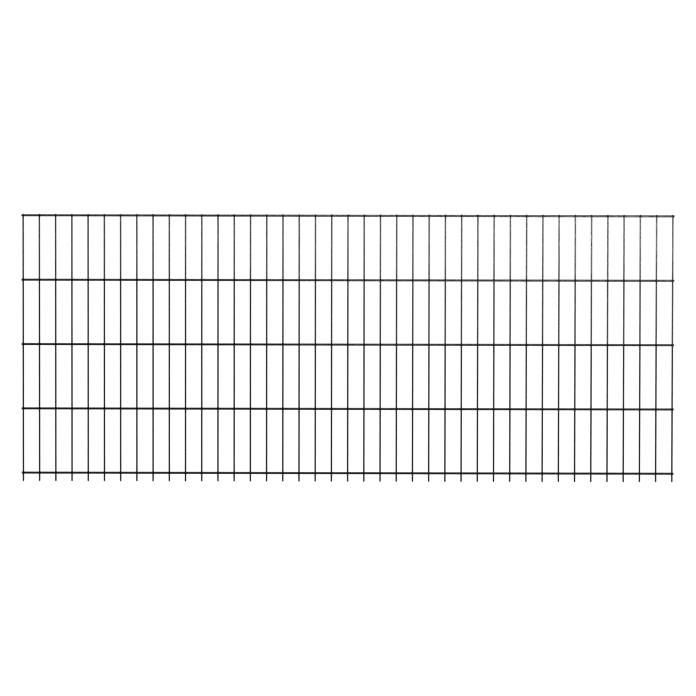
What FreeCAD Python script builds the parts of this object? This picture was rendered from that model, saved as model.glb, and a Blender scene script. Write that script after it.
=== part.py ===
import FreeCAD, Part
import os

# Welded mesh fence panel of the double-rod kind.
# Upright wires stand side by side along the panel. At each level a front rail and a back rail
# hold them all between two rods, and every crossing is welded: the rail sinks a little way into
# the upright wire, which keeps a shallow seat there with the rail's own outline. The uprights
# end just above the top rails and run on below the bottom rails as short free tips.
#
# The rods are round on the real panel. Here each has a few flat sides, as wide across the flats
# as the rod is thick, with a flat turned to the front and to the back so that seats are flush.
#
# Frame: X along the panel, -Y the front face, Z up. The origin is at the foot of the middle
# upright wire, in the plane of all the tip ends. Millimetres.

SIZES = (
    ("wire_count", 41, "upright wires"),
    ("wire_pitch", 50.0, "centre to centre of the upright wires"),
    ("wire_diameter", 4.0, "upright wire, drawn steel"),
    ("rail_levels", 5, "levels that carry a front and a back rail"),
    ("rail_pitch", 200.0, "centre to centre of the rail levels"),
    ("rail_diameter", 5.0, "rail rod, drawn steel"),
    ("rail_overhang", 5.0, "rail past the centre of the end upright"),
    ("tip_length", 26.0, "upright below the centre of the bottom rails"),
    ("top_rise", 4.0, "upright above the centre of the top rails"),
    ("weld_sink", 0.5, "how far the weld sinks a rail into an upright"),
    ("end_chamfer", 0.4, "broken edge at every sheared rod end"),
    ("quarter_sides", 3, "flat sides in a quarter turn of a rod"),
)

SIDES = "(4 * Sizes.quarter_sides)"
HALF_SIDE_ANGLE = f"(180 / {SIDES})"
UPRIGHT_LENGTH = "(Sizes.tip_length + (Sizes.rail_levels - 1) * Sizes.rail_pitch + Sizes.top_rise)"
RAIL_LENGTH = "((Sizes.wire_count - 1) * Sizes.wire_pitch + 2 * Sizes.rail_overhang)"
RAIL_OFFSET = "((Sizes.wire_diameter + Sizes.rail_diameter) / 2 - Sizes.weld_sink)"

SIDE_DIRECTIONS = (("front", -1), ("back", 1))
AXIS = FreeCAD.Vector(0, 0, 1)
SOME_TURN = 1
EDGES_OF_A_SIDE = 4
SEAT_VOLUME_ERROR = 0.01


def make_sheet(doc):
    """The driving dimensions, one named cell each, with a note beside it."""
    sheet = doc.addObject("Spreadsheet::Sheet", "Sizes")
    for row, (name, value, note) in enumerate(SIZES, start=1):
        sheet.set(f"A{row}", name)
        sheet.set(f"B{row}", str(value))
        sheet.set(f"C{row}", note)
        sheet.setAlias(f"B{row}", name)
    doc.recompute()
    return sheet


def datum(body, role):
    """The plane or axis of a body's own origin that has this role."""
    return next(f for f in body.Origin.OriginFeatures if f.Role == role)


def make_prism(body, kind, name, plane, diameter, length):
    """A many-sided rod on an origin plane of the body, turned so that flats face its axes."""
    prism = body.newObject(f"PartDesign::{kind}Prism", f"{body.Name}_{name}")
    prism.AttachmentSupport = [(datum(body, plane), "")]
    prism.MapMode = "FlatFace"
    prism.AttachmentOffset = FreeCAD.Placement(FreeCAD.Vector(), FreeCAD.Rotation(AXIS, SOME_TURN))
    prism.setExpression("AttachmentOffset.Rotation.Angle", HALF_SIDE_ANGLE)
    prism.setExpression("Polygon", SIDES)
    prism.setExpression("Circumradius", f"{diameter} / 2 / cos({HALF_SIDE_ANGLE})")
    prism.setExpression("Height", length)
    return prism


def break_ends(doc, body, rod):
    """Breaks the edge round both cut ends of a rod."""
    doc.recompute()
    ends = body.newObject("PartDesign::Chamfer", f"{body.Name}_ends")
    ends.Base = (rod, [f"Face{i}" for i, face in enumerate(rod.Shape.Faces, start=1)
                       if len(face.Edges) > EDGES_OF_A_SIDE])
    ends.setExpression("Size", "Sizes.end_chamfer")


def sink_seats(doc, body, side, direction):
    """Cuts the weld seat of the lowest rail on one side, then repeats it level by level."""
    seat = make_prism(body, "Subtractive", f"{side}_seat", "YZ_Plane",
                      "Sizes.rail_diameter", "2 * Sizes.wire_diameter")
    seat.setExpression("AttachmentOffset.Base.x", f"{direction} * {RAIL_OFFSET}")
    seat.setExpression("AttachmentOffset.Base.y", "Sizes.tip_length")
    seat.setExpression("AttachmentOffset.Base.z", "-Sizes.wire_diameter")
    doc.recompute()
    levels = body.newObject("PartDesign::LinearPattern", f"{body.Name}_{side}_levels")
    levels.Originals = [seat]
    levels.Direction = (datum(body, "Z_Axis"), [""])
    levels.setExpression("Length", "(Sizes.rail_levels - 1) * Sizes.rail_pitch")
    levels.setExpression("Occurrences", "Sizes.rail_levels")
    body.Tip = levels


def place_along(body, number):
    """Moves an upright to its turn in the row, counted from the left."""
    body.setExpression("Placement.Base.x", f"({number} - (Sizes.wire_count + 1) / 2) * Sizes.wire_pitch")


def make_uprights(doc, count):
    """The first upright wire stands on its tip with its seats cut. The others are copies of it."""
    first = doc.addObject("PartDesign::Body", "upright_wire_01")
    rod = make_prism(first, "Additive", "rod", "XY_Plane", "Sizes.wire_diameter", UPRIGHT_LENGTH)
    break_ends(doc, first, rod)
    for side, direction in SIDE_DIRECTIONS:
        sink_seats(doc, first, side, direction)
    place_along(first, 1)
    uprights = [first]
    for number in range(2, count + 1):
        body = doc.addObject("PartDesign::Body", f"upright_wire_{number:02d}")
        copy = doc.addObject("PartDesign::FeatureBase", f"{body.Name}_copy")
        copy.BaseFeature = first
        body.Group = [copy]
        body.Tip = copy
        place_along(body, number)
        uprights.append(body)
    return uprights


def make_rail(doc, side, direction, level):
    """One rail rod along the front or the back of the uprights, centred on the panel."""
    body = doc.addObject("PartDesign::Body", f"{side}_rail_{level}")
    rod = make_prism(body, "Additive", "rod", "YZ_Plane", "Sizes.rail_diameter", RAIL_LENGTH)
    rod.setExpression("AttachmentOffset.Base.z", f"-{RAIL_LENGTH} / 2")
    break_ends(doc, body, rod)
    body.setExpression("Placement.Base.y", f"{direction} * {RAIL_OFFSET}")
    body.setExpression("Placement.Base.z", f"Sizes.tip_length + ({level} - 1) * Sizes.rail_pitch")
    return body


def check(doc, pieces):
    """Stops the build if a feature failed, a piece isn't one sound solid, or a seat wasn't cut."""
    for item in doc.Objects:
        if "Invalid" in item.State or "Error" in item.State:
            raise RuntimeError(f"{item.Label} failed: {item.State}")
    for piece in pieces:
        shape = piece.Shape
        if shape.isNull() or not shape.isValid() or len(shape.Solids) != 1:
            raise RuntimeError(f"{piece.Label} is not one sound solid")
    plain = doc.getObject("upright_wire_01_ends").Shape.Volume
    one_seat = plain - doc.getObject("upright_wire_01_front_seat").Shape.Volume
    seats = len(SIDE_DIRECTIONS) * int(doc.getObject("Sizes").rail_levels)
    for piece in pieces:
        if piece.Label.startswith("upright"):
            missing = seats * one_seat - (plain - piece.Shape.Volume)
            if one_seat <= 0 or abs(missing) > SEAT_VOLUME_ERROR * one_seat:
                raise RuntimeError(f"{piece.Label} has not all of its {seats} weld seats")


def write(pieces):
    """One STEP file for each piece, named after it."""
    os.makedirs("parts", exist_ok=True)
    for piece in pieces:
        piece.Shape.exportStep(f"parts/{piece.Label}.step")


def main():
    doc = FreeCAD.newDocument("MeshPanel")
    sheet = make_sheet(doc)
    pieces = make_uprights(doc, int(sheet.wire_count))
    for level in range(1, int(sheet.rail_levels) + 1):
        for side, direction in SIDE_DIRECTIONS:
            pieces.append(make_rail(doc, side, direction, level))
    doc.recompute()
    check(doc, pieces)
    write(pieces)
    print(f"{len(pieces)} pieces, {sum(p.Shape.Volume for p in pieces) / 1000:.1f} cm3")


main()
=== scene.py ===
import math

import bmesh
import bpy
from mathutils import Matrix, Vector


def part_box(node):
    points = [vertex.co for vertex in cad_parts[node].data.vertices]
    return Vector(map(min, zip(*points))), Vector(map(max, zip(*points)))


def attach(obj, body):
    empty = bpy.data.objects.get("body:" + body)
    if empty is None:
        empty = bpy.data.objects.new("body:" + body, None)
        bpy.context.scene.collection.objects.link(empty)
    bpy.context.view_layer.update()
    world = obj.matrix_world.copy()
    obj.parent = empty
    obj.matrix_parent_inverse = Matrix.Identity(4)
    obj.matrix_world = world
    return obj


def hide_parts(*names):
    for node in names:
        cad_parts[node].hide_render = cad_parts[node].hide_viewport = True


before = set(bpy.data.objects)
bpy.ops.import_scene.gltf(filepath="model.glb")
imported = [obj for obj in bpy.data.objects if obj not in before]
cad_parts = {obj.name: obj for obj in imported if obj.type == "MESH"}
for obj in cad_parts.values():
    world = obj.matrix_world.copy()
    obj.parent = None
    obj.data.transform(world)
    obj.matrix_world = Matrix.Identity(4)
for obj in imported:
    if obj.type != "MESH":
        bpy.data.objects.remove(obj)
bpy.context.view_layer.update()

# Powder coat. The whole welded panel is cleaned, dusted with dark green polyester powder and
# baked, so one thin skin covers every wire. It has a fine orange peel and a satin sheen, and is
# duller in the corners round the welds, where the powder reaches less well. Its colour is
# darkened there too, as painted shade.

MM = 0.001
COAT_LIGHT = (0.0100, 0.0490, 0.0348, 1.0)
COAT_DARK = (0.0048, 0.0300, 0.0214, 1.0)
# Painted shade: the darker coat colour used in the corners round the welds.
COAT_PAINTED_CORNER_SHADE = (0.0038, 0.0234, 0.0164, 1.0)
CORNER_REACH = 5.0 * MM
PEEL_SIZE = 1.1 * MM
PEEL_HEIGHT = 0.010 * MM
MOTTLE_SIZE = 9.0 * MM
MOTTLE_SHARE = 0.45
DRIFT_SIZE = 320.0 * MM
DRIFT_SHARE = 0.55
DARKEST_TONE = 0.25
TONE_CONTRAST = 2.0
NOISE_FALLOFF = 0.55
SATIN_ROUGHNESS = 0.26
MOTTLE_ROUGHNESS = 0.14
CORNER_ROUGHNESS = 0.30
TOP_GLOSS = 0.35
TOP_GLOSS_ROUGHNESS = 0.25
RESIN_IOR = 1.5
FIRST_COLOUR, SECOND_COLOUR, MIXED_COLOUR = 6, 7, 2

first_low, first_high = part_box("upright_wire_01")
second_low, second_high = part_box("upright_wire_02")
bottom_low, bottom_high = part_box("front_rail_1")
next_low, next_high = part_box("front_rail_2")
wire_pitch = second_low.x - first_low.x
rail_pitch = next_low.z - bottom_low.z
bottom_level = (bottom_low.z + bottom_high.z) / 2


class Value:
    """A socket of a node tree that can be written into sums and products."""

    def __init__(self, tree, socket):
        self.tree = tree
        self.socket = socket

    def make(self, kind, settings, inputs, output=0):
        """Adds a node, sets it up, feeds its sockets and returns one of its outputs."""
        node = self.tree.nodes.new(kind)
        for name, setting in settings.items():
            setattr(node, name, setting)
        for name, given in inputs.items():
            if isinstance(given, Value):
                self.tree.links.new(given.socket, node.inputs[name])
            else:
                node.inputs[name].default_value = given
        return Value(self.tree, node.outputs[output])

    def calculate(self, operation, *given):
        inputs = dict(enumerate((self, *given)))
        return self.make("ShaderNodeMath", {"operation": operation}, inputs)

    def __add__(self, other):
        return self.calculate("ADD", other)

    def __sub__(self, other):
        return self.calculate("SUBTRACT", other)

    def __rsub__(self, other):
        return (self * -1.0) + other

    def __mul__(self, other):
        return self.calculate("MULTIPLY", other)

    def __truediv__(self, other):
        return self.calculate("DIVIDE", other)

    def __abs__(self):
        return self.calculate("ABSOLUTE")

    __radd__ = __add__
    __rmul__ = __mul__


def distance_to_row(along, start, pitch):
    """How far a coordinate is from the nearest of a row of evenly spaced places."""
    turn = ((along - start) / pitch + 0.5).calculate("FRACT")
    return abs(turn - 0.5) * pitch


def coat_noise(place, size, detail):
    settings = {"noise_dimensions": "3D"}
    inputs = {"Vector": place, "Scale": 1.0 / size, "Detail": detail, "Roughness": NOISE_FALLOFF}
    return place.make("ShaderNodeTexNoise", settings, inputs, "Fac")


def mix_colour(share, first, second):
    inputs = {"Factor": share, FIRST_COLOUR: first, SECOND_COLOUR: second}
    return share.make("ShaderNodeMix", {"data_type": "RGBA"}, inputs, MIXED_COLOUR)


def make_powder_coat():
    material = bpy.data.materials.new("powder_coat")
    material.use_nodes = True
    tree = material.node_tree
    shader = tree.nodes["Principled BSDF"]
    coordinates = tree.nodes.new("ShaderNodeTexCoord")
    place = Value(tree, coordinates.outputs["Object"])
    across = place.make("ShaderNodeSeparateXYZ", {}, {"Vector": place}, "X")
    up = place.make("ShaderNodeSeparateXYZ", {}, {"Vector": place}, "Z")

    from_wire = distance_to_row(across, 0.0, wire_pitch)
    from_rail = distance_to_row(up, bottom_level, rail_pitch)
    from_weld = from_wire.calculate("MAXIMUM", from_rail)
    # Mask of the corners round the welds: painted shade in the colour, and duller gloss in the
    # roughness.
    corner_shade_and_dullness = (1.0 - from_weld / CORNER_REACH).calculate("MAXIMUM", 0.0)

    peel = coat_noise(place, PEEL_SIZE, detail=2.0)
    mottle = coat_noise(place, MOTTLE_SIZE, detail=3.0)
    drift = coat_noise(place, DRIFT_SIZE, detail=1.0)
    tone = (mottle * MOTTLE_SHARE + drift * DRIFT_SHARE - DARKEST_TONE) * TONE_CONTRAST
    colour = mix_colour(tone.calculate("MAXIMUM", 0.0), COAT_DARK, COAT_LIGHT)
    # Painted shade: the colour is darkened in the corners round the welds.
    colour = mix_colour(corner_shade_and_dullness, colour, COAT_PAINTED_CORNER_SHADE)
    roughness = SATIN_ROUGHNESS + mottle * MOTTLE_ROUGHNESS + corner_shade_and_dullness * CORNER_ROUGHNESS
    gloss = TOP_GLOSS - corner_shade_and_dullness * TOP_GLOSS
    bump = peel.make(
        "ShaderNodeBump", {}, {"Strength": 1.0, "Distance": PEEL_HEIGHT, "Height": peel}, "Normal"
    )
    tree.links.new(colour.socket, shader.inputs["Base Color"])
    tree.links.new(roughness.socket, shader.inputs["Roughness"])
    tree.links.new(gloss.socket, shader.inputs["Coat Weight"])
    tree.links.new(bump.socket, shader.inputs["Normal"])
    shader.inputs["IOR"].default_value = RESIN_IOR
    shader.inputs["Coat Roughness"].default_value = TOP_GLOSS_ROUGHNESS
    return material


powder_coat = make_powder_coat()

# Upright wires. Each is a length of drawn 4 mm steel wire, sheared to length. A welding press
# pushes the rails a little way into it from the front and the back, and the metal that is
# squeezed out makes a small fillet above and below each rail. The coat rounds the sheared ends.

LEVELS = 5
WIRE_SIDES = 16
FILLET = 0.6 * MM
FILLET_STEPS = (0.0, 0.25, 0.5, 0.75, 1.0)
END_ROUNDING = 0.4 * MM
END_STEPS = 3


def weld_reach(face_to_axis, other_radius):
    """How far from a crossing the fillet starts, on a face this far from the other rod's axis."""
    return math.sqrt((other_radius + FILLET) ** 2 - (face_to_axis - FILLET) ** 2)


def weld_stations(crossings, reach):
    """Places along a rod that get a ring of vertices, each with the fillet's height there."""
    stations = []
    for crossing in crossings:
        heights = [FILLET * (1 - math.sqrt(1 - step * step)) for step in FILLET_STEPS]
        rising = [(crossing - reach + step * FILLET, h) for step, h in zip(FILLET_STEPS, heights)]
        falling = [(crossing + reach - step * FILLET, h) for step, h in zip(FILLET_STEPS, heights)]
        stations += rising + falling[::-1]
    return stations


def make_rod(radius, sides, stations, grow):
    """A closed round rod along Z with a ring at each station, shaped by grow, with round ends."""
    mesh = bmesh.new()
    bmesh.ops.create_circle(mesh, cap_ends=False, segments=sides, radius=radius)
    bmesh.ops.spin(
        mesh, geom=mesh.verts[:] + mesh.edges[:], cent=(0, 0, 0), axis=(0, 0, 1),
        dvec=(0, 0, 1), angle=0.0, steps=len(stations) - 1, use_merge=False,
    )
    for vertex in mesh.verts:
        place, height = stations[round(vertex.co.z)]
        vertex.co.y = grow(vertex.co.y, height)
        vertex.co.z = place
    open_rims = [edge for edge in mesh.edges if edge.is_boundary]
    ends = bmesh.ops.holes_fill(mesh, edges=open_rims, sides=0)["faces"]
    rims = [edge for edge in mesh.edges if any(face in ends for face in edge.link_faces)]
    bmesh.ops.bevel(
        mesh, geom=rims, offset=END_ROUNDING, affect="EDGES", segments=END_STEPS, profile=0.5,
        material=-1,
    )
    bmesh.ops.recalc_face_normals(mesh, faces=mesh.faces[:])
    for face in mesh.faces:
        face.smooth = len(face.verts) != sides
    return mesh


def show_piece(mesh, name, node):
    """Makes a coated piece that stands for one of the solids."""
    data = bpy.data.meshes.new(name)
    mesh.to_mesh(data)
    data.materials.append(powder_coat)
    piece = bpy.data.objects.new(name, data)
    bpy.context.scene.collection.objects.link(piece)
    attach(piece, "root")
    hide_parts(node)


wire_radius = (first_high.x - first_low.x) / 2
rail_radius = (bottom_high.z - bottom_low.z) / 2
rail_axis = -(bottom_low.y + bottom_high.y) / 2
levels = [bottom_level + number * rail_pitch for number in range(LEVELS)]

wire_reach = weld_reach(rail_axis - wire_radius, rail_radius)
wire_stations = [(first_low.z, 0.0)] + weld_stations(levels, wire_reach)
wire_stations = [s for s in wire_stations if s[0] < first_high.z - END_ROUNDING]
wire_stations.append((first_high.z, 0.0))


def grow_both_sides(y, height):
    return y * (1 + height / wire_radius)


wire_mesh = make_rod(wire_radius, WIRE_SIDES, wire_stations, grow_both_sides)
uprights = sorted(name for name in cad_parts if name.startswith("upright_wire_"))
for name in uprights:
    low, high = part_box(name)
    placed = wire_mesh.copy()
    bmesh.ops.translate(placed, verts=placed.verts[:], vec=((low.x + high.x) / 2, 0, 0))
    show_piece(placed, name.replace("wire", "coated_wire"), name)
    placed.free()
wire_mesh.free()

# Rails. At each level one 5 mm rod runs along the front of the uprights and one along the back.
# Both are welded to every upright in one stroke of the press, and the fillet runs up the sides
# of the upright. The rods are sheared just past the end uprights.

RAIL_SIDES = 20

across_centres = [(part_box(name)[0].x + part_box(name)[1].x) / 2 for name in uprights]
rail_reach = weld_reach(rail_axis - rail_radius, wire_radius)
rail_stations = [(bottom_low.x, 0.0)] + weld_stations(across_centres, rail_reach)
rail_stations.append((bottom_high.x, 0.0))


def grow_inner_side(y, height):
    return y * (1 + height / rail_radius) if y > 0 else y


lying_along_x = Matrix.Rotation(math.pi / 2, 4, "Y")
rail_mesh = make_rod(rail_radius, RAIL_SIDES, rail_stations, grow_inner_side)
bmesh.ops.transform(rail_mesh, matrix=lying_along_x, verts=rail_mesh.verts[:])
for side, turn in (("front", 0.0), ("back", math.pi)):
    for number, level in enumerate(levels, start=1):
        low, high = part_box(f"{side}_rail_{number}")
        placed = rail_mesh.copy()
        bmesh.ops.transform(placed, matrix=Matrix.Rotation(turn, 4, "Z"), verts=placed.verts[:])
        bmesh.ops.translate(placed, verts=placed.verts[:], vec=(0, (low.y + high.y) / 2, level))
        show_piece(placed, f"{side}_coated_rail_{number}", f"{side}_rail_{number}")
        placed.free()
rail_mesh.free()

# Floor and light. The floor is pale and plain, some way below the panel, which its posts would
# hold clear of the ground. A wide soft light overhead makes it white under a dim sky. Three soft
# lights in front put a sheen on the upper wires, on the upper rails and on the right end.

FLOOR_DROP = 0.9
FLOOR_SIZE = 600.0
FLOOR_TONE = (0.93, 0.93, 0.93, 1.0)
SKY_SEEN = 1.0
SKY_LIGHT = 0.15
KEY_STRENGTH = 3.09
KEY_WIDTH = 70.0
DISPLAY_GAMMA = 0.48


def add_sheen(name, place, aim, width, height, watts, spread):
    """A soft light that shows only in the gloss of the coat. Its spread is in degrees."""
    light = bpy.data.lights.new(name, "AREA")
    light.shape = "RECTANGLE"
    light.size = width
    light.size_y = height
    light.energy = watts
    light.spread = math.radians(spread)
    standing = bpy.data.objects.new(name, light)
    facing = (Vector(aim) - Vector(place)).to_track_quat("-Z", "Y")
    standing.matrix_world = Matrix.LocRotScale(Vector(place), facing, None)
    standing.visible_camera = False
    standing.visible_diffuse = False
    bpy.context.scene.collection.objects.link(standing)


floor_mesh = bmesh.new()
bmesh.ops.create_grid(floor_mesh, x_segments=1, y_segments=1, size=FLOOR_SIZE / 2)
bmesh.ops.translate(floor_mesh, verts=floor_mesh.verts[:], vec=(0, 0, -FLOOR_DROP))
floor_data = bpy.data.meshes.new("floor")
floor_mesh.to_mesh(floor_data)
floor_mesh.free()
floor_coat = bpy.data.materials.new("floor_paint")
floor_coat.use_nodes = True
floor_shader = floor_coat.node_tree.nodes["Principled BSDF"]
floor_shader.inputs["Base Color"].default_value = FLOOR_TONE
floor_shader.inputs["Roughness"].default_value = 1.0
floor_shader.inputs["Specular IOR Level"].default_value = 0.0
floor_data.materials.append(floor_coat)
floor = bpy.data.objects.new("floor", floor_data)
bpy.context.scene.collection.objects.link(floor)
floor.visible_glossy = False

key = bpy.data.lights.new("overhead", "SUN")
key.energy = KEY_STRENGTH
key.angle = math.radians(KEY_WIDTH)
key_object = bpy.data.objects.new("overhead", key)
bpy.context.scene.collection.objects.link(key_object)

add_sheen(
    "wire_sheen", place=(0.20, -1.50, 0.58), aim=(0.20, 0.0, 1.15),
    width=2.5, height=0.22, watts=10.5, spread=54.0,
)
add_sheen(
    "rail_sheen", place=(0.65, -1.20, 1.95), aim=(0.65, 0.0, 0.79),
    width=1.7, height=0.70, watts=3.3, spread=28.0,
)
add_sheen(
    "end_sheen", place=(1.50, -1.50, 0.47), aim=(0.98, 0.0, 0.84),
    width=1.6, height=0.45, watts=7.2, spread=60.0,
)

world = bpy.data.worlds.new("studio")
world.use_nodes = True
sky = world.node_tree.nodes["Background"]
light_path = world.node_tree.nodes.new("ShaderNodeLightPath")
to_camera = Value(world.node_tree, light_path.outputs["Is Camera Ray"])
shares = {"Factor": to_camera, "A": SKY_LIGHT, "B": SKY_SEEN}
strength = to_camera.make("ShaderNodeMix", {}, shares, "Result")
world.node_tree.links.new(strength.socket, sky.inputs["Strength"])
sky.inputs["Color"].default_value = (1, 1, 1, 1)
bpy.context.scene.world = world
bpy.context.scene.view_settings.view_transform = "Standard"
bpy.context.scene.view_settings.gamma = DISPLAY_GAMMA

# Camera. It stands far off with a very long lens, a little above the panel, which draws the
# rails slightly closer together than they are and all but parallel.

PHOTO_WIDTH = 696
FOCUS_PIXELS = 16239.4
SENSOR_WIDTH = 36.0
CAMERA_DISTANCE = 50.04
AIM = Vector((0.0006, 0.0, 0.4154))
CAMERA_TURN = math.radians(-0.127)
CAMERA_TILT = math.radians(7.632)
CAMERA_ROLL = math.radians(0.086)

forward = Vector((
    math.sin(CAMERA_TURN) * math.cos(CAMERA_TILT),
    math.cos(CAMERA_TURN) * math.cos(CAMERA_TILT),
    -math.sin(CAMERA_TILT),
))
level_right = Vector((math.cos(CAMERA_TURN), -math.sin(CAMERA_TURN), 0.0))
level_up = level_right.cross(forward)
right = math.cos(CAMERA_ROLL) * level_right + math.sin(CAMERA_ROLL) * level_up
upward = right.cross(forward)
camera_data = bpy.data.cameras.new("camera")
camera_data.sensor_width = SENSOR_WIDTH
camera_data.lens = SENSOR_WIDTH * FOCUS_PIXELS / PHOTO_WIDTH
camera_data.clip_end = 2 * FLOOR_SIZE
camera = bpy.data.objects.new("camera", camera_data)
facing = Matrix((right, upward, -forward)).transposed().to_4x4()
camera.matrix_world = Matrix.Translation(AIM - CAMERA_DISTANCE * forward) @ facing
bpy.context.scene.collection.objects.link(camera)
bpy.context.scene.camera = camera
